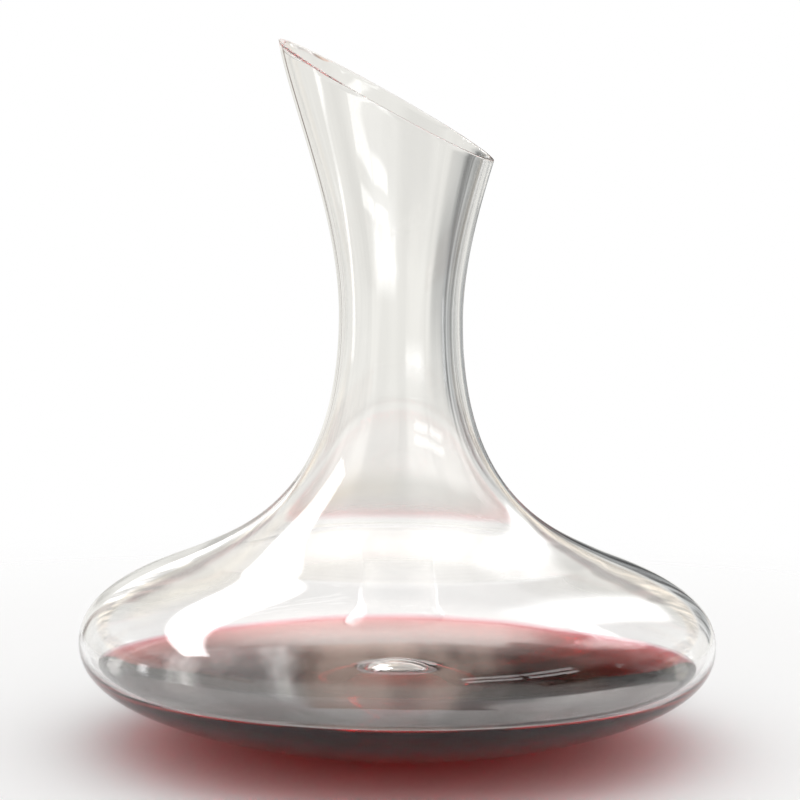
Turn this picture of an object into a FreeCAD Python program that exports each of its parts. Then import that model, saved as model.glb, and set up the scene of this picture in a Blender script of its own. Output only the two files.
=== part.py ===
import FreeCAD, Part
import math
import os

from FreeCAD import Vector

# A wide-based wine decanter: one mouth-blown glass vessel and the wine that stands in it.
# Lengths are in millimetres, angles in degrees.
# The vessel stands upright on its foot ring. Its axis is Z, the foot is at z = 0, and the
# pouring lip, the highest point of the slanting rim, points to -X.

# The foot ring is the flat annulus that the vessel stands on.
FOOT_INNER_R = 30.0
FOOT_WIDTH = 6.0

# The underside leaves the foot ring at a low angle and turns up at the belly.
UNDERSIDE_ANGLE = 12.0
UNDERSIDE_PULL = 64.0
BELLY_R = 110.0
BELLY_Z = 36.2
BELLY_PULL_BELOW = 13.5
BELLY_PULL_ABOVE = 17.7

# The shoulder is where the outline turns from the round belly to the hollow neck.
SHOULDER_R = 72.0
SHOULDER_Z = 65.5
SHOULDER_ANGLE = 23.7
SHOULDER_PULL_BELOW = 11.1
SHOULDER_PULL_ABOVE = 19.4

# The waist is the narrowest place of the neck.
WAIST_R = 21.5
WAIST_Z = 147.0
WAIST_PULL_BELOW = 62.4
WAIST_PULL_ABOVE = 36.5

# The mouth flares to the lip, and the rim is cut on a slant.
LIP_R = 43.4
LIP_FLARE_ANGLE = 5.4
LIP_PULL = 19.4
RIM_Z = 219.4
RIM_SLANT = 30.0
RIM_ROUND = 0.85
# The blown glass runs on past the lip by this much, so that the cut goes right through.
RIM_TRIM = 4.0

# The punt is the hollow pushed up in the middle of the base.
PUNT_DEPTH = 25.5
PUNT_FOOT_PULL = 10.0
PUNT_TOP_PULL = 22.0

# The glass is thick in the base and thin in the neck.
BASE_WALL = 4.0
BELLY_WALL = 2.6
SHOULDER_WALL = 2.4
NECK_WALL = 2.0

# The wine stands level.
WINE_LEVEL = 26.5


def heading(angle, length=1.0):
    """A vector in the XZ plane, at an angle above +X."""
    turn = math.radians(angle)
    return Vector(length * math.cos(turn), 0, length * math.sin(turn))


def station(r, z, angle, pull_before, pull_after, wall):
    """A place where the outline has a known heading and glass thickness."""
    return {
        "place": Vector(r, 0, z),
        "heading": heading(angle),
        "inward": heading(angle + 90.0),
        "pull_before": pull_before,
        "pull_after": pull_after,
        "wall": wall,
    }


def turn(before, after):
    """The angle in radians by which a heading swings to the left."""
    return math.atan2(before.x * after.z - before.z * after.x, before.dot(after))


def set_in_pull(pull, bend, inset):
    """The pull of a line that keeps its bend but runs nearer to the bend's centre."""
    return pull - inset * 4.0 / 3.0 * math.tan(bend / 2.0)


def arch(start, end, depth):
    """One smooth curve between two stations, set into the glass by a share of the wall."""
    begin = start["place"] + start["heading"] * start["pull_after"]
    finish = end["place"] - end["heading"] * end["pull_before"]
    middle = (end["place"] - start["place"]) + (finish - begin)
    first_inset = start["wall"] * depth
    last_inset = end["wall"] * depth
    first = start["place"] + start["inward"] * first_inset
    last = end["place"] + end["inward"] * last_inset
    leaving = set_in_pull(start["pull_after"], turn(start["heading"], middle), first_inset)
    arriving = set_in_pull(end["pull_before"], turn(middle, end["heading"]), last_inset)
    curve = Part.BezierCurve()
    curve.setPoles([first, first + start["heading"] * leaving,
                    last - end["heading"] * arriving, last])
    return curve.toShape()


def outline(stations, depth):
    """The chain of curves through the stations: depth 0 is outside, depth 1 is inside."""
    return [arch(a, b, depth) for a, b in zip(stations, stations[1:])]


def first_point(edges):
    return edges[0].valueAt(edges[0].FirstParameter)


def last_point(edges):
    return edges[-1].valueAt(edges[-1].LastParameter)


def run(start, end):
    return Part.makeLine(start, end)


def body_stations():
    """From the foot ring's outer edge, round the belly and up the neck to the lip."""
    lip_z = RIM_Z + LIP_R * math.tan(math.radians(RIM_SLANT))
    return [
        station(FOOT_INNER_R + FOOT_WIDTH, 0.0, UNDERSIDE_ANGLE, 0.0, UNDERSIDE_PULL, BASE_WALL),
        station(BELLY_R, BELLY_Z, 90.0, BELLY_PULL_BELOW, BELLY_PULL_ABOVE, BELLY_WALL),
        station(SHOULDER_R, SHOULDER_Z, 180.0 - SHOULDER_ANGLE,
                SHOULDER_PULL_BELOW, SHOULDER_PULL_ABOVE, SHOULDER_WALL),
        station(WAIST_R, WAIST_Z, 90.0, WAIST_PULL_BELOW, WAIST_PULL_ABOVE, NECK_WALL),
        station(LIP_R, lip_z, 90.0 - LIP_FLARE_ANGLE, LIP_PULL, 0.0, NECK_WALL),
    ]


def punt_stations():
    """From the punt's top on the axis down to the foot ring's inner edge."""
    return [
        station(0.0, PUNT_DEPTH, 0.0, 0.0, PUNT_TOP_PULL, BASE_WALL),
        station(FOOT_INNER_R, 0.0, 0.0, PUNT_FOOT_PULL, 0.0, BASE_WALL),
    ]


def skin(depth):
    """One whole surface line of the glass, from the punt's top to above the lip."""
    punt = outline(punt_stations(), depth)
    body = outline(body_stations(), depth)
    base = [run(last_point(punt), first_point(body))]
    trim = heading(90.0 - LIP_FLARE_ANGLE, RIM_TRIM)
    blank = [run(last_point(body), last_point(body) + trim)]
    return punt + base + body + blank


def spin(edges):
    """A solid of revolution about the vessel's axis."""
    face = Part.Face(Part.Wire(edges))
    return face.revolve(Vector(0, 0, 0), Vector(0, 0, 1), 360)


def glass_blank(outside, inside):
    """The vessel as blown, before its rim is cut."""
    axis_run = [run(first_point(inside), first_point(outside))]
    mouth_run = [run(last_point(outside), last_point(inside))]
    return spin(axis_run + outside + mouth_run + inside[::-1])


def cavity(inside):
    """The space in the vessel, up to the level of its uncut mouth."""
    top = last_point(inside)
    centre = Vector(0, 0, top.z)
    return spin(inside + [run(top, centre), run(centre, first_point(inside))])


def slanting_cut():
    """A block that holds everything above the plane of the rim."""
    side = 4.0 * (BELLY_R + RIM_Z)
    block = Part.makeBox(side, side, side, Vector(-side / 2, -side / 2, 0))
    block.rotate(Vector(0, 0, 0), Vector(0, 1, 0), RIM_SLANT)
    block.translate(Vector(0, 0, RIM_Z))
    return block


def rim_edges(vessel):
    """The outer and inner edges of the cut rim, which lie in its slanting plane."""
    normal = Vector(math.sin(math.radians(RIM_SLANT)), 0, math.cos(math.radians(RIM_SLANT)))
    on_axis = Vector(0, 0, RIM_Z)
    found = []
    for edge in vessel.Edges:
        places = [] if edge.Degenerated else edge.discretize(5)
        heights = [abs((place - on_axis).dot(normal)) for place in places]
        if heights and max(heights) < 1e-4:
            found.append(edge)
    return found


def glass_vessel():
    """The vessel, with its rim cut on the slant and melted round."""
    vessel = glass_blank(skin(0.0), skin(1.0)).cut(slanting_cut())
    return vessel.makeFillet(min(RIM_ROUND, 0.45 * NECK_WALL), rim_edges(vessel))


def red_wine():
    """The wine: the lower part of the cavity, up to a level surface."""
    side = 4.0 * BELLY_R
    pool = Part.makeBox(side, side, WINE_LEVEL, Vector(-side / 2, -side / 2, 0))
    return cavity(skin(1.0)).common(pool)


os.makedirs("parts", exist_ok=True)
for name, shape in (("glass_vessel", glass_vessel()), ("red_wine", red_wine())):
    shape.exportStep("parts/" + name + ".step")
    box = shape.BoundBox
    print(name, "solids", len(shape.Solids), "valid", shape.isValid(),
          "volume %.1f ml" % (shape.Volume / 1000.0),
          "size %.1f x %.1f x %.1f" % (box.XLength, box.YLength, box.ZLength),
          "top %.2f" % box.ZMax)
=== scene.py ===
# %% [markdown]
# # A wine decanter in clear glass
#
# The real object is one blown piece of clear glass with a pool of red wine in it. This
# lesson builds the glass as one closed mesh, the wine as another, and a small white studio
# round them. Glass shows nothing of its own: it bends and mirrors what is round it. So half
# of the work is in exact walls, and the other half is in what the walls can see.
#
# The first step loads the construction model. It fixes where everything is, in metres.

# %% Load the frame
import math

import bpy
import numpy as np
from mathutils import Matrix, Vector


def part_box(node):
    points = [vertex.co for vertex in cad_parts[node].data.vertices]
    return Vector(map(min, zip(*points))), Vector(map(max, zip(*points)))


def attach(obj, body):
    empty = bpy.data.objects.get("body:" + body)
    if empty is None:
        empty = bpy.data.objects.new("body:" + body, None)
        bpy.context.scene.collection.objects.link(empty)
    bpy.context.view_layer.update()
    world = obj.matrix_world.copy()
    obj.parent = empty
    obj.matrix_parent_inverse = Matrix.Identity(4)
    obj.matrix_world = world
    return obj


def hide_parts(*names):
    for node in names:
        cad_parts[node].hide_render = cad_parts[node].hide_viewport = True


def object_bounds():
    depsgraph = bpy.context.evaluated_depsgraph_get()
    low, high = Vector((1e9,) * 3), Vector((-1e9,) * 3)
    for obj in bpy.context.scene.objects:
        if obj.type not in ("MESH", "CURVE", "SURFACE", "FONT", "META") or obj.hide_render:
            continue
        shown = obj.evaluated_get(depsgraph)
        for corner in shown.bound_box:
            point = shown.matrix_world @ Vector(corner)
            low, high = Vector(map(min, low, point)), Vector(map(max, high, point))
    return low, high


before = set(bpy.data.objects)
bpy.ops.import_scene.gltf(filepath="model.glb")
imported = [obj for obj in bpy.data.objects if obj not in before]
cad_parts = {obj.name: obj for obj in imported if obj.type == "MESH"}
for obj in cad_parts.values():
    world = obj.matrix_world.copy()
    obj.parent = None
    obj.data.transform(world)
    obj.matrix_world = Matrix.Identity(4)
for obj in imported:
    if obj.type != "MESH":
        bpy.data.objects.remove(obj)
cad_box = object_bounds()
vessel_low, vessel_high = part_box("glass_vessel")
wine_low, wine_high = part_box("red_wine")
MM = 0.001
print("vessel box, mm:", [round(v / MM, 1) for v in (*vessel_low, *vessel_high)])
print("wine from, to, mm:", round(wine_low.z / MM, 2), round(wine_high.z / MM, 2))

# %% [markdown]
# ## The camera
#
# The decanter is seen from a little above its waist, with the pouring lip to the left and
# turned somewhat away. A long lens keeps the foot and the lip in proportion. The camera
# could be aimed at an empty with a constraint. Here its three axes are worked out and
# written into its matrix, which also lets it lean by a fraction of a degree.

# %% Place the camera
VIEW_AZIMUTH = math.radians(19.0)
VIEW_DISTANCE = 650 * MM
VIEW_HEIGHT = 154 * MM
VIEW_PITCH = math.radians(-3.13)
VIEW_LEAN = math.radians(0.63)
SENSOR_MM = 36.0
LENS_MM = 84.3


def camera_axes(azimuth, pitch, lean):
    """Right, up and back of a camera that looks at the axis from an azimuth."""
    level = Vector((-math.sin(azimuth), math.cos(azimuth), 0))
    ahead = level * math.cos(pitch) + Vector((0, 0, math.sin(pitch)))
    side = Vector((math.cos(azimuth), math.sin(azimuth), 0))
    top = side.cross(ahead)
    right = side * math.cos(lean) + top * math.sin(lean)
    return right, right.cross(ahead), -ahead


def make_camera():
    data = bpy.data.cameras.new("studio_camera")
    data.sensor_width = SENSOR_MM
    data.lens = LENS_MM
    camera = bpy.data.objects.new("studio_camera", data)
    bpy.context.scene.collection.objects.link(camera)
    place = Vector((math.sin(VIEW_AZIMUTH), -math.cos(VIEW_AZIMUTH), 0)) * VIEW_DISTANCE
    place.z = VIEW_HEIGHT
    axes = Matrix(camera_axes(VIEW_AZIMUTH, VIEW_PITCH, VIEW_LEAN)).transposed()
    camera.matrix_world = Matrix.Translation(place) @ axes.to_4x4()
    bpy.context.scene.camera = camera
    return camera


camera = make_camera()
print("camera at, mm:", [round(v / MM) for v in camera.matrix_world.translation])

# %% [markdown]
# ## The outline of the glass
#
# A glassblower spins the vessel, so one outline turned about the axis gives the whole shape.
# The outline is smooth, with a few places that matter: foot, belly, shoulder, waist and lip.
# Each is a station with a radius, a height, a heading and a wall thickness. The heading is
# the way in which the outline runs there, in degrees above level. The two pulls say how
# firmly the curve keeps to that heading, before the station and after it.

# %% The stations of the outline
BELLY_R = (vessel_high.x - vessel_low.x) / 2
RIM_Z = 219.4 * MM
RIM_SLANT = math.radians(30.0)
LIP_R = 43.4 * MM
LIP_Z = RIM_Z + LIP_R * math.tan(RIM_SLANT)
FOOT_INNER_R = 30 * MM
FOOT_OUTER_R = 36 * MM
BASE_WALL = 4 * MM


def station(r, z, degrees, pull_before, pull_after, wall):
    turn = math.radians(degrees)
    ahead = np.array((math.cos(turn), math.sin(turn)))
    return {
        "place": np.array((r, z)),
        "ahead": ahead,
        "inward": np.array((-ahead[1], ahead[0])),
        "before": pull_before,
        "after": pull_after,
        "wall": wall,
    }


FOOT = station(FOOT_OUTER_R, 0, 12.0, 0, 64 * MM, BASE_WALL)
BELLY = station(BELLY_R, 36.2 * MM, 90, 13.5 * MM, 17.7 * MM, 2.6 * MM)
SHOULDER = station(72 * MM, 65.5 * MM, 156.3, 11.1 * MM, 19.4 * MM, 2.4 * MM)
WAIST = station(21.5 * MM, 147 * MM, 90, 62.4 * MM, 36.5 * MM, 2.0 * MM)
LIP = station(LIP_R, LIP_Z, 84.6, 19.4 * MM, 0, 2.0 * MM)
PUNT_TOP = station(0, 25.5 * MM, 0, 0, 22 * MM, BASE_WALL)
PUNT_EDGE = station(FOOT_INNER_R, 0, 0, 10 * MM, 0, BASE_WALL)
print("lip tip at, mm:", round(LIP_Z / MM, 1))

# %% [markdown]
# ## From station to station
#
# Between two stations runs one cubic curve, pulled along the heading at either end. Blender
# has such curves, but in code the same sums also give a height on the curve, which the rim
# and the wine's edge need. The inner face is the same curve set in by the wall. A curve set
# in towards its centre of bend needs a shorter pull, and one set out a longer one, so that
# the wall stays even.

# %% One curve between two stations
def swing(before, after):
    """The angle by which a heading swings to the left."""
    cross = before[0] * after[1] - before[1] * after[0]
    return math.atan2(cross, float(before @ after))


def poles(start, end, depth):
    """The four control points of the curve, at a depth of 0 (outside) to 1 (inside)."""
    begin = start["place"] + start["ahead"] * start["after"]
    finish = end["place"] - end["ahead"] * end["before"]
    middle = (end["place"] - start["place"]) + (finish - begin)
    inset_a = start["wall"] * depth
    inset_b = end["wall"] * depth
    first = start["place"] + start["inward"] * inset_a
    last = end["place"] + end["inward"] * inset_b
    leave = start["after"] - inset_a * 4 / 3 * math.tan(swing(start["ahead"], middle) / 2)
    arrive = end["before"] - inset_b * 4 / 3 * math.tan(swing(middle, end["ahead"]) / 2)
    return first, first + start["ahead"] * leave, last - end["ahead"] * arrive, last


def along(control, t):
    """Points (r, z) of the cubic at the values t."""
    t = np.asarray(t, float)[..., None]
    a, b, c, d = control
    u = 1 - t
    return a * u**3 + b * 3 * u * u * t + c * 3 * u * t * t + d * t**3


def heading_at(control, t):
    """Unit headings of the cubic at the values t."""
    t = np.asarray(t, float)[..., None]
    a, b, c, d = control
    u = 1 - t
    way = (b - a) * u * u + (c - b) * 2 * u * t + (d - c) * t * t
    return way / np.linalg.norm(way, axis=-1, keepdims=True)


def where(control, height, low=0.0, high=1.0):
    """The value t at which a rising or falling curve reaches a height."""
    rising = along(control, high)[1] > along(control, low)[1]
    for _ in range(50):
        t = (low + high) / 2
        if (along(control, t)[1] < height) == rising:
            low = t
        else:
            high = t
    return (low + high) / 2


waist_wall = along(poles(WAIST, LIP, 0), 0.5) - along(poles(WAIST, LIP, 1), 0.5)
print("wall halfway up the neck, mm:", round(float(np.hypot(*waist_wall)) / MM, 2))

# %% [markdown]
# ## Turning the outline into a mesh
#
# Blender's Screw modifier spins an outline, but here the rim is cut on a slant, so the upper
# rings of the neck have to tilt. The rings are therefore made in code: every ring is one row
# of points round the axis, and faces join each row to the next.

# %% Rings and lofts
SEGMENTS = 256
ROUND = np.arange(SEGMENTS) * 2 * math.pi / SEGMENTS


def ring(r, z):
    """One row of points; r and z are numbers, or one value for each segment."""
    r = np.broadcast_to(r, SEGMENTS)
    z = np.broadcast_to(z, SEGMENTS)
    return np.stack([r * np.cos(ROUND), r * np.sin(ROUND), z], axis=1)


def loft(name, rows, first_tip=None, last_tip=None, looped=False):
    """A mesh object through rows of points, with tips on the axis or its ends joined."""
    points = [np.concatenate(rows)]
    count = len(rows)
    seg = np.arange(SEGMENTS)
    nxt = (seg + 1) % SEGMENTS
    faces, bands = [], []
    for k in range(count if looped else count - 1):
        a, b = k * SEGMENTS, (k + 1) % count * SEGMENTS
        faces += np.stack([a + seg, a + nxt, b + nxt, b + seg], axis=1).tolist()
        bands += [k] * SEGMENTS
    total = count * SEGMENTS
    for tip, base, turned in ((first_tip, 0, True), (last_tip, total - SEGMENTS, False)):
        if tip is not None:
            points.append(np.array([tip]))
            fan = [base + seg, base + nxt, np.full(SEGMENTS, total)]
            faces += np.stack(fan[::-1] if turned else fan, axis=1).tolist()
            bands += [0 if turned else count - 2] * SEGMENTS
            total += 1
    mesh = bpy.data.meshes.new(name)
    mesh.from_pydata(np.concatenate(points).tolist(), [], faces)
    mesh.polygons.foreach_set("use_smooth", [True] * len(faces))
    mesh.update()
    piece = bpy.data.objects.new(name, mesh)
    bpy.context.scene.collection.objects.link(piece)
    return piece, bands


def volume(piece):
    """The signed volume in cubic metres: it is negative when the faces look inwards."""
    mesh = piece.data
    mesh.calc_loop_triangles()
    co = np.array([v.co for v in mesh.vertices])
    tri = co[np.array([t.vertices for t in mesh.loop_triangles])]
    return float(np.einsum("ij,ij->i", tri[:, 0], np.cross(tri[:, 1], tri[:, 2])).sum() / 6)


def face_outwards(piece):
    if volume(piece) < 0:
        piece.data.flip_normals()
    return volume(piece)


# %% [markdown]
# ## The slanting rim
#
# The maker cuts the mouth with a flat saw, 30 degrees off level, then melts the edge round
# in a flame. For each direction round the axis, the neck's curve is followed up to where it
# meets the plane of the cut, and the rows of the neck are spaced evenly below that point.
# The melted lip goes from the outer face over to the inner one as half an ellipse, made a
# little squarer by a power below one, because a flame rounds the corners of the cut first.

# %% Where the neck meets the cut
LIP_BACK = 0.95 * MM
LIP_RISE = 0.44 * MM
LIP_SQUARE = 1 / 2
NECK_ROWS = 40
LIP_ROWS = 14


def cut_height(r):
    return RIM_Z - np.tan(RIM_SLANT) * r * np.cos(ROUND)


def cut_values(control, back):
    """For each segment, the value t at which the neck's curve is a distance below the cut."""
    low, high = np.zeros(SEGMENTS), np.full(SEGMENTS, 1.1)
    for _ in range(40):
        t = (low + high) / 2
        point = along(control, t)
        below = point[:, 1] + back < cut_height(point[:, 0])
        low, high = np.where(below, t, low), np.where(below, high, t)
    return t


def neck_rows(depth):
    """Rows from the waist up to just below the lip."""
    control = poles(WAIST, LIP, depth)
    top = cut_values(control, LIP_BACK)
    rows = []
    for share in np.linspace(0, 1, NECK_ROWS):
        point = along(control, top * share)
        rows.append(ring(point[:, 0], point[:, 1]))
    return rows, heading_at(control, top)


def lip_rows(outer, inner, ahead):
    """The melted edge: half a squared ellipse from the outer row over to the inner row."""
    up = ring(ahead[:, 0], ahead[:, 1])
    middle, half = (outer + inner) / 2, (outer - inner) / 2
    rows = []
    for angle in np.linspace(0, math.pi, LIP_ROWS + 2)[1:-1]:
        across = math.copysign(abs(math.cos(angle)) ** LIP_SQUARE, math.cos(angle))
        rows.append(middle + half * across + up * LIP_RISE * math.sin(angle) ** LIP_SQUARE)
    return rows


# %% [markdown]
# ## Two faces and a wine line
#
# Hand-blown walls are never quite even, and that is what draws faint upright streaks in the
# neck. So the inner face wanders in and out by a few hundredths of a millimetre, by a sum of
# a few waves round the axis that turn slowly with height. A row of points also has to lie
# exactly where the edge of the wine meets the glass, because the glass changes its shader
# there. The wine climbs the wall a little, and the punt rather less.

# %% Rows of the two faces
CURVE_ROWS = 32
WAVES = (  # how many round the axis, where the wave starts, how it turns with height
    (2, 0.4, 9),
    (3, 1.7, -14),
    (5, 4.1, 21),
    (9, 2.2, -30),
    (14, 5.0, 12),
)
WAVES_FROM = 40 * MM


def curve_rows(start, end, depth, first=0.0, last=1.0, count=CURVE_ROWS):
    """Rows along one curve, without its last point."""
    values = first + (last - first) * np.arange(count) / count
    return [ring(r, z) for r, z in along(poles(start, end, depth), values)]


def uneven(rows, size):
    """Moves rows in or out by waves that turn slowly with height."""
    moved = []
    for row in rows:
        z = row[:, 2]
        wave = np.zeros(SEGMENTS)
        for turns, phase, twist in WAVES:
            wave += np.sin(turns * ROUND + phase + twist * z) / math.sqrt(turns)
        fade = np.clip(z / WAVES_FROM, 0, 1)
        moved.append(row + ring(size * wave * fade, 0))
    return moved


WINE_LEVEL = wine_high.z
CLIMB = 1.1 * MM
PUNT_CLIMB = 0.66 * MM
under = poles(FOOT, BELLY, 1)
punt_inside = poles(PUNT_TOP, PUNT_EDGE, 1)
t_wall = where(under, WINE_LEVEL + CLIMB)
t_punt = where(punt_inside, WINE_LEVEL + PUNT_CLIMB)
print("wine meets the wall at r, mm:", round(float(along(under, t_wall)[0]) / MM, 1))
print("and the punt at r, mm:", round(float(along(punt_inside, t_punt)[0]) / MM, 1))

# %% [markdown]
# ## The vessel
#
# The rows run from the top of the punt, down to the foot ring, out and round the belly, up
# the neck, over the lip and back down inside. One closed mesh is needed, not a sheet with
# Solidify, because the light has to pass two true faces to bend as in real glass.

# %% Build the vessel
STREAK = 0.05 * MM
DRY_WALL_ROWS = 16
ISLAND_ROWS = 10


def outer_rows():
    rows = curve_rows(PUNT_TOP, PUNT_EDGE, 0)[1:]
    rows += [ring(FOOT_INNER_R, 0), ring((FOOT_INNER_R + FOOT_OUTER_R) / 2, 0)]
    rows += curve_rows(FOOT, BELLY, 0) + curve_rows(BELLY, SHOULDER, 0)
    return rows + curve_rows(SHOULDER, WAIST, 0)


def inner_wet_rows():
    """The inside below the wine's edge: down the punt and out to the wall."""
    rows = curve_rows(PUNT_TOP, PUNT_EDGE, 1, t_punt, 1.0)
    edge = along(punt_inside, 1.0)
    start = along(under, 0.0)
    rows += [ring(*edge), ring(*((edge + start) / 2))]
    rows += curve_rows(FOOT, BELLY, 1, 0.0, t_wall)
    return rows + [ring(*along(under, t_wall))]


def inner_dry_rows():
    """The inside above the wine's edge, up to the waist."""
    rows = curve_rows(FOOT, BELLY, 1, t_wall, 1.0, DRY_WALL_ROWS)[1:]
    rows += curve_rows(BELLY, SHOULDER, 1)
    return rows + curve_rows(SHOULDER, WAIST, 1)


def build_vessel():
    outer_neck, ahead = neck_rows(0)
    inner_neck, _ = neck_rows(1)
    lip = lip_rows(outer_neck[-1], inner_neck[-1], ahead)
    island = curve_rows(PUNT_TOP, PUNT_EDGE, 1, 0.0, t_punt, ISLAND_ROWS)[1:]
    wet = inner_wet_rows()
    inside = island + wet + uneven(inner_dry_rows() + inner_neck, STREAK)
    outside = outer_rows() + outer_neck
    rows = outside + lip + inside[::-1]
    low_tip = (0, 0, PUNT_TOP["place"][1])
    high_tip = (0, 0, PUNT_TOP["place"][1] + BASE_WALL)
    piece, bands = loft("clear_glass_vessel", rows, low_tip, high_tip)
    last_wet = len(rows) - len(island)
    first_wet = last_wet - len(wet)
    touched = [1 if first_wet <= band < last_wet - 1 else 0 for band in bands]
    piece.data.polygons.foreach_set("material_index", touched)
    return piece


vessel = build_vessel()
glass_volume = face_outwards(vessel)
print("glass, ml:", round(glass_volume * 1e6, 1), "faces:", len(vessel.data.polygons))

# %% [markdown]
# ## The wine
#
# Wine fills the bowl right up against the glass, and its edge climbs the wall by about a
# millimetre, because it wets the glass. A renderer needs to know at each face which two
# clear things meet there. Where wine lies against glass, light hardly bends, because the two
# are nearly alike. Only the free surface mirrors like water. So the wine is made of two
# closed pieces: a body that only colours the light, set off from the glass by a few
# hundredths of a millimetre, and on top a thin skin whose upper face bends and mirrors.

# %% The shape of the free surface
HAIR = 0.03 * MM
SKIN = 3 * HAIR
BODY_BELOW = 5 * HAIR
CLIMB_REACH = 2.0 * MM
TOP_ROWS = 60
wall_edge = along(under, t_wall)
punt_edge = along(punt_inside, t_punt)


def surface_height(r):
    """The level surface, drawn up where it meets the wall and the punt."""
    to_wall = (wall_edge[0] - r) / CLIMB_REACH
    to_punt = (r - punt_edge[0]) / CLIMB_REACH
    lift = (wall_edge[1] - WINE_LEVEL) * np.exp(-to_wall)
    return WINE_LEVEL + lift + (punt_edge[1] - WINE_LEVEL) * np.exp(-to_punt)


def surface_radii(inset):
    """Radii from the wall in to the punt, close together near both edges."""
    share = (1 - np.cos(np.linspace(0, math.pi, TOP_ROWS))) / 2
    outer, inner = wall_edge[0] - inset, punt_edge[0] + inset
    return outer + (inner - outer) * share


def set_in(rows, gap):
    """The wet rows of the glass, moved a hair into the wine."""
    co = np.array(rows)
    way = np.gradient(co, axis=0)
    ring_way = np.roll(co, -1, axis=1) - np.roll(co, 1, axis=1)
    normal = np.cross(ring_way, way)
    normal /= np.linalg.norm(normal, axis=2, keepdims=True)
    return list(co - normal * gap)


def build_wine_body():
    sides = set_in(inner_wet_rows(), HAIR)[1:-1]
    top = [ring(r, surface_height(r) - BODY_BELOW) for r in surface_radii(3 * HAIR)]
    piece, _ = loft("red_wine_body", sides + top, looped=True)
    return piece


def build_wine_skin():
    upper = [ring(r, surface_height(r)) for r in surface_radii(HAIR)]
    lower = [ring(r, surface_height(r) - SKIN) for r in surface_radii(2 * HAIR)]
    rows = upper + lower[::-1]
    piece, bands = loft("wine_surface", rows, looped=True)
    under_face = [0 if band < len(upper) - 1 else 1 for band in bands]
    piece.data.polygons.foreach_set("material_index", under_face)
    return piece


wine_body = build_wine_body()
wine_skin = build_wine_skin()
print("wine, ml:", round(face_outwards(wine_body) * 1e6, 1))
print("skin, ml:", round(face_outwards(wine_skin) * 1e6, 2))

# %% [markdown]
# ## Writing shaders as sums
#
# A shader is a sheet of nodes joined by wires. Written node by node it is long, so one small
# class stands for a wire: adding, subtracting, multiplying or dividing wires adds the Math
# nodes. Every other kind of node comes from one method, which sets its settings first and
# then its sockets, each to a value or to a wire.

# %% A wire and a sheet of nodes
class Wire:
    """The output of a node, which can be used in a sum."""

    def __init__(self, sheet, socket):
        self.sheet = sheet
        self.socket = socket

    def sum(self, operation, first, second):
        return self.sheet.node("ShaderNodeMath", {"operation": operation}, {0: first, 1: second})

    def __add__(self, other):
        return self.sum("ADD", self, other)

    def __radd__(self, other):
        return self.sum("ADD", other, self)

    def __sub__(self, other):
        return self.sum("SUBTRACT", self, other)

    def __rsub__(self, other):
        return self.sum("SUBTRACT", other, self)

    def __mul__(self, other):
        return self.sum("MULTIPLY", self, other)

    def __rmul__(self, other):
        return self.sum("MULTIPLY", other, self)

    def __truediv__(self, other):
        return self.sum("DIVIDE", self, other)

    def __rtruediv__(self, other):
        return self.sum("DIVIDE", other, self)

    def __abs__(self):
        return self.sheet.node("ShaderNodeMath", {"operation": "ABSOLUTE"}, {0: self})

    def step(self, low, high):
        """0 below low, 1 above high, and smooth between them."""
        settings = {"interpolation_type": "SMOOTHSTEP"}
        return self.sheet.node("ShaderNodeMapRange", settings, {0: self, 1: low, 2: high})


class Sheet:
    """The node tree of a material or of the world."""

    def __init__(self, owner):
        owner.use_nodes = True
        self.tree = owner.node_tree
        self.tree.nodes.clear()

    def node(self, kind, settings=None, sockets=None, output=0):
        made = self.tree.nodes.new(kind)
        for name, value in (settings or {}).items():
            setattr(made, name, value)
        for key, value in (sockets or {}).items():
            if isinstance(value, Wire):
                self.tree.links.new(value.socket, made.inputs[key])
            else:
                made.inputs[key].default_value = value
        return Wire(self, made.outputs[output]) if made.outputs else made

    def output(self, wire, name):
        """Another output of the node that a wire comes from."""
        return Wire(self, wire.socket.node.outputs[name])

    def mix_colour(self, factor, first, second):
        settings = {"data_type": "RGBA", "clamp_factor": True}
        return self.node("ShaderNodeMix", settings, {0: factor, 6: first, 7: second}, 2)


def new_material(name):
    material = bpy.data.materials.new(name)
    return material, Sheet(material)


# %% [markdown]
# ## The glass
#
# Clear glass is one Principled shader: all its light goes through, and the index of
# refraction, 1.52 for this kind of glass, sets how much it bends and mirrors. The fire
# leaves the skin of blown glass very slightly rippled, so a soft, wide bump goes to the
# normal. On the faces that wine touches, the index is that of glass over that of wine.

# %% Glass materials
GLASS_INDEX = 1.52
WINE_INDEX = 1.345
RIPPLE = 0.03
RIPPLE_SCALE = 38.0
WHITE = (1, 1, 1, 1)


def glass_material(name, index):
    material, sheet = new_material(name)
    place = sheet.node("ShaderNodeTexCoord", output=3)
    waves = sheet.node("ShaderNodeTexNoise", None, {"Vector": place, "Scale": RIPPLE_SCALE, "Detail": 1.0})
    bump = sheet.node("ShaderNodeBump", None, {"Strength": RIPPLE, "Distance": 1 * MM, "Height": waves})
    glass = sheet.node("ShaderNodeBsdfPrincipled", None, {
        "Base Color": WHITE,
        "Roughness": 0.0,
        "IOR": index,
        "Transmission Weight": 1.0,
        "Normal": bump,
    })
    sheet.node("ShaderNodeOutputMaterial", None, {"Surface": glass})
    return material


clear_glass = glass_material("clear_blown_glass", GLASS_INDEX)
wetted_glass = glass_material("clear_glass_wetted", GLASS_INDEX / WINE_INDEX)
vessel.data.materials.append(clear_glass)
vessel.data.materials.append(wetted_glass)
print("index where wine wets the glass:", round(GLASS_INDEX / WINE_INDEX, 3))

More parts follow.
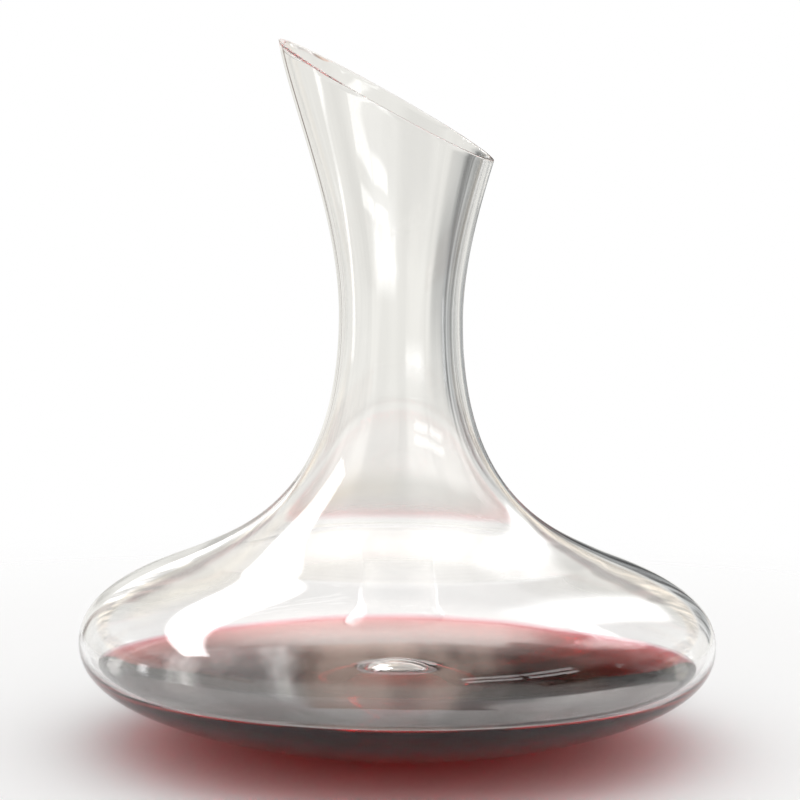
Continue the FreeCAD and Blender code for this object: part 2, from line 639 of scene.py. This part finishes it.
# %% [markdown]
# ## The wine's colour
#
# Wine has no colour at its surface. It takes green and blue out of the light along the way,
# so a thin edge is pink, a finger's depth is ruby and the whole bowl is nearly black. A
# Volume Absorption does this by itself: its density times one minus its colour is what it
# takes from each colour in a metre. The surface is calm, with a bump of a few soft waves,
# and its outermost zone is tinted a trace, as the edge of a young red wine is.

# %% Wine materials
WINE_TAKES = (60.0, 880.0, 760.0)
RIM_ZONE = (92 * MM, 104 * MM)
RIM_TINT = (1.0, 0.93, 0.95, 1)
CALM = 0.05
CALM_SCALE = 26.0


def wine_material(name, index, coloured):
    material, sheet = new_material(name)
    place = sheet.node("ShaderNodeTexCoord", output=3)
    level = sheet.node("ShaderNodeVectorMath", {"operation": "MULTIPLY"}, {0: place, 1: (1, 1, 0)})
    radius = sheet.node("ShaderNodeVectorMath", {"operation": "LENGTH"}, {0: level}, 1)
    tint = sheet.mix_colour(radius.step(*RIM_ZONE), WHITE, RIM_TINT)
    waves = sheet.node("ShaderNodeTexNoise", None, {"Vector": level, "Scale": CALM_SCALE, "Detail": 2.0})
    bump = sheet.node("ShaderNodeBump", None, {"Strength": CALM, "Distance": 1 * MM, "Height": waves})
    wine = sheet.node("ShaderNodeBsdfPrincipled", None, {
        "Base Color": tint,
        "Roughness": 0.0,
        "IOR": index,
        "Transmission Weight": 1.0,
        "Normal": bump,
    })
    sockets = {"Surface": wine}
    if coloured:
        density = max(WINE_TAKES)
        passes = [1 - taken / density for taken in WINE_TAKES]
        sockets["Volume"] = sheet.node(
            "ShaderNodeVolumeAbsorption", None, {"Color": (*passes, 1), "Density": density}
        )
    sheet.node("ShaderNodeOutputMaterial", None, sockets)
    return material


wine_body.data.materials.append(wine_material("red_wine", 1.0, True))
wine_skin.data.materials.append(wine_material("wine_free_surface", WINE_INDEX, False))
wine_skin.data.materials.append(wine_material("wine_skin_underside", 1.0, False))
for depth_mm in (1, 5, 25):
    left = [round(math.exp(-taken * depth_mm * MM), 2) for taken in WINE_TAKES]
    print("light left after", depth_mm, "mm of wine:", left)

# %% [markdown]
# ## The floor
#
# The decanter stands on a plain matt floor, which takes its soft shadow. Further out the
# floor fades away into the backdrop, so no horizon shows, neither beside the decanter nor
# through it. A Transparent shader does the fading, by the distance from the foot.

# %% Floor
FLOOR_SIZE = 1.6
FLOOR_COLOUR = (0.96, 0.955, 0.95, 1)
FLOOR_BELOW = 0.02 * MM
MATT_UP_TO = 0.2
GONE_FROM = 0.6


def build_floor():
    half = FLOOR_SIZE / 2
    mesh = bpy.data.meshes.new("white_floor")
    corners = [(-half, -half, 0), (half, -half, 0), (half, half, 0), (-half, half, 0)]
    mesh.from_pydata(corners, [], [(0, 1, 2, 3)])
    piece = bpy.data.objects.new("white_floor", mesh)
    bpy.context.scene.collection.objects.link(piece)
    piece.location.z = cad_box[0].z - FLOOR_BELOW
    material, sheet = new_material("white_floor")
    place = sheet.node("ShaderNodeTexCoord", output=3)
    away = sheet.node("ShaderNodeVectorMath", {"operation": "LENGTH"}, {0: place}, 1)
    matt = sheet.node("ShaderNodeBsdfDiffuse", None, {"Color": FLOOR_COLOUR})
    clear = sheet.node("ShaderNodeBsdfTransparent", None, {"Color": WHITE})
    share = away.step(MATT_UP_TO, GONE_FROM)
    both = sheet.node("ShaderNodeMixShader", None, {0: share, 1: matt, 2: clear})
    sheet.node("ShaderNodeOutputMaterial", None, {"Surface": both})
    mesh.materials.append(material)
    return piece


floor = build_floor()
print("floor at, mm:", round(floor.location.z / MM, 2))

# %% [markdown]
# ## The studio round the glass
#
# Clear glass in an all-white room would vanish. So what the glass mirrors and bends is a
# studio with cards in it, as a photographer sets up for glass: bright soft boxes, a window,
# and grey flags that draw the dark edges. The cards could be meshes that give light. Here
# they are drawn on the sky, because then none of them shows or throws light on the floor.
# Each card is a rectangle with soft edges, given by where its middle stands and by how far
# it reaches each way, all in degrees seen from the glass. A later card covers an earlier one.

# %% The cards
HORIZON = (0.84, 0.83, 0.79, 1)
CEILING = (0.50, 0.47, 0.44, 1)
# azimuth (0 is where the camera stands, + to its right), elevation, half width, half height,
# softness of the edge, light in red, green and blue, and how streaky the card is
CARDS = [
    # the dark room on the camera's side, and a light overhead
    (0, 40, 70, 24, 0.4, (0.12, 0.12, 0.12, 1), 0.3),
    (180, 74, 40, 30, 0.7, (3.4, 3.2, 3.0, 1), 0),
    # the room's furniture, all round, a little above the eye, and two darker things at its right
    (180, 15.5, 80, 6.5, 0.06, (0.88, 0.78, 0.65, 1), 0.5),
    (-90, 15.5, 40, 6.5, 0.06, (0.48, 0.38, 0.33, 1), 0.7),
    (90, 15.5, 40, 6.5, 0.06, (0.40, 0.33, 0.29, 1), 0.7),
    (88, 2, 24, 24, 0.25, (0.50, 0.50, 0.50, 1), 0.4),
    (75, 20, 22, 16, 0.2, (0.12, 0.11, 0.10, 1), 0.4),
    # flags that the wine mirrors beside its far edge, and a light card between them
    (160, 20.5, 6.5, 4.2, 0.05, (0.16, 0.07, 0.06, 1), 0.6),
    (-159, 20.5, 8, 3.5, 0.05, (0.30, 0.16, 0.14, 1), 0.6),
    (-160, 13.5, 8, 3.2, 0.05, (1.60, 1.55, 1.50, 1), 0.6),
    # a light patch low behind the decanter, which brightens the foot of the neck
    (180, -5.6, 7, 2.4, 0.03, (1.02, 1.0, 0.96, 1), 0.1),
    # a cream wall, a grey curtain, and what the wine mirrors behind the decanter
    (-176, -8, 5, 3, 0.09, (0.88, 0.80, 0.68, 1), 0.1),
    (-160, 29, 22, 8, 0.15, (0.95, 0.86, 0.72, 1), 0.2),
    (160.5, 2.5, 16, 6.8, 0.04, (0.38, 0.39, 0.39, 1), 0.7),
    (180, 11.5, 6, 3.5, 0.015, (0.52, 0.40, 0.34, 1), 0.8),
    (-166, 12, 11, 4, 0.02, (1.5, 1.46, 1.42, 1), 0.6),
    (172, 12, 4.5, 5, 0.01, (0.05, 0.03, 0.02, 1), 0.6),
    (180, 16, 14, 2.5, 0.01, (1.0, 0.95, 0.92, 1), 0.2),
    # a slim flag for the left limb
    (-152, 2, 3.5, 14, 0.04, (0.34, 0.29, 0.26, 1), 0.7),
    # soft boxes: over the left shoulder, beside the neck, low in front, behind on the right
    (-130, 45, 34, 7, 0.05, (9, 9, 9, 1), 0),
    (-98.5, -6, 3.5, 12, 0.04, (4, 4, 4, 1), 0),
    (-30, -18, 24, 13, 0.2, (4, 4, 4, 1), 0.3),
    (150, 38, 9, 18, 0.12, (3.5, 3.5, 3.5, 1), 0),
]
WINDOW_LIGHT = (2.8, 2.8, 2.8, 1)
for pane_azimuth in (36, 60):
    for pane_elevation in (28.6, 34.8):
        CARDS.append((pane_azimuth, pane_elevation, 10, 2.2, 0.02, WINDOW_LIGHT, 0))
print("cards in the studio:", len(CARDS))

# %% [markdown]
# ## The world
#
# A card is a mask on the direction in which a ray leaves. The direction's share towards the
# card's middle is its depth, and its shares sideways and upwards, over that depth, say how
# far off the middle it is. The masks mix the cards' colours in one after the other. A
# stretched noise gives some of them upright streaks, as curtains and shelves would.
#
# The Light Path node tells which ray asks. Rays that came off glass or wine see the studio,
# the camera sees plain white, and matt things get an even white light, a little more from
# above, whose average is one.

# %% World
STUDIO_RISE = (0.25, 0.6)
STREAK_STRETCH = (24, 24, 3)
STREAK_RANGE = (0.35, 0.65)
PLAIN_STREAKS = 0.06
TOP_LIGHT = 1.275
TOP_LIGHT_MEAN = 0.85


def card_mask(sheet, way, azimuth, elevation, half_width, half_height, soft):
    """1 on a card and 0 off it."""
    turn = VIEW_AZIMUTH + math.radians(azimuth)
    rise = math.radians(elevation)
    level = Vector((math.sin(turn), -math.cos(turn), 0))
    ahead = level * math.cos(rise) + Vector((0, 0, math.sin(rise)))
    side = Vector((math.cos(turn), math.sin(turn), 0))

    def reach(axis):
        return sheet.node("ShaderNodeVectorMath", {"operation": "DOT_PRODUCT"}, {0: way, 1: axis}, 1)

    depth = reach(ahead)
    across = abs(reach(side) / depth)
    along_height = abs(reach(ahead.cross(side)) / depth)
    wide = math.tan(math.radians(half_width))
    tall = math.tan(math.radians(half_height))
    inside = (wide - across).step(0, soft) * (tall - along_height).step(0, soft)
    return inside * depth.step(0, 0.05)


def build_world():
    world = bpy.data.worlds.new("white_studio")
    bpy.context.scene.world = world
    world.cycles.sampling_method = "NONE"
    sheet = Sheet(world)
    way = sheet.node("ShaderNodeTexCoord", output=0)
    height = sheet.node("ShaderNodeSeparateXYZ", None, {0: way}, 2)
    studio = sheet.mix_colour(height.step(*STUDIO_RISE), HORIZON, CEILING)
    streaky = PLAIN_STREAKS
    for azimuth, elevation, half_width, half_height, soft, light, streaks in CARDS:
        mask = card_mask(sheet, way, azimuth, elevation, half_width, half_height, soft)
        studio = sheet.mix_colour(mask, studio, light)
        streaky = streaky + (streaks - streaky) * mask
    tall = sheet.node("ShaderNodeVectorMath", {"operation": "MULTIPLY"}, {0: way, 1: STREAK_STRETCH})
    noise = sheet.node("ShaderNodeTexNoise", None, {"Vector": tall, "Scale": 1.0, "Detail": 3.0})
    amount = 1.0 + (noise.step(*STREAK_RANGE) * 2.0 - 1.0) * streaky
    studio = sheet.node("ShaderNodeVectorMath", {"operation": "SCALE"}, {0: studio, "Scale": amount})
    path = sheet.node("ShaderNodeLightPath")
    curved = sheet.output(path, "Is Glossy Ray") + sheet.output(path, "Is Transmission Ray")
    diffuse = sheet.output(path, "Is Diffuse Ray")
    room = 1.0 + (height * TOP_LIGHT - TOP_LIGHT_MEAN) * diffuse
    shown = sheet.mix_colour(curved, WHITE, studio)
    strength = room + (1.0 - room) * curved
    light = sheet.node("ShaderNodeBackground", None, {"Color": shown, "Strength": strength})
    sheet.node("ShaderNodeOutputWorld", None, {"Surface": light})
    return world


world = build_world()
print("nodes in the world:", len(world.node_tree.nodes))

# %% [markdown]
# ## How far light is followed
#
# Light that enters the rim or a wall runs along inside the glass and is thrown back from
# face to face, hundreds of times, before it gets out. A renderer that gives up sooner paints
# the rim black. So many bounces are allowed. Only a few rays use them.

# %% View and bounces
BOUNCES = 600
scene = bpy.context.scene
scene.view_settings.view_transform = "Standard"
scene.cycles.max_bounces = BOUNCES
scene.cycles.transmission_bounces = BOUNCES
scene.cycles.glossy_bounces = BOUNCES
print("bounces:", scene.cycles.max_bounces)

# %% [markdown]
# ## Hand over
#
# The meshes ride on the one rigid body of the model, and the construction solid that each
# stands for is hidden.

# %% Ride, replace and finish
for piece, node, slot_name in (
    (vessel, "glass_vessel", "clear_glass"),
    (wine_body, "red_wine", "wine"),
    (wine_skin, "red_wine", "wine"),
):
    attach(piece, "root")
    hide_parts(node)
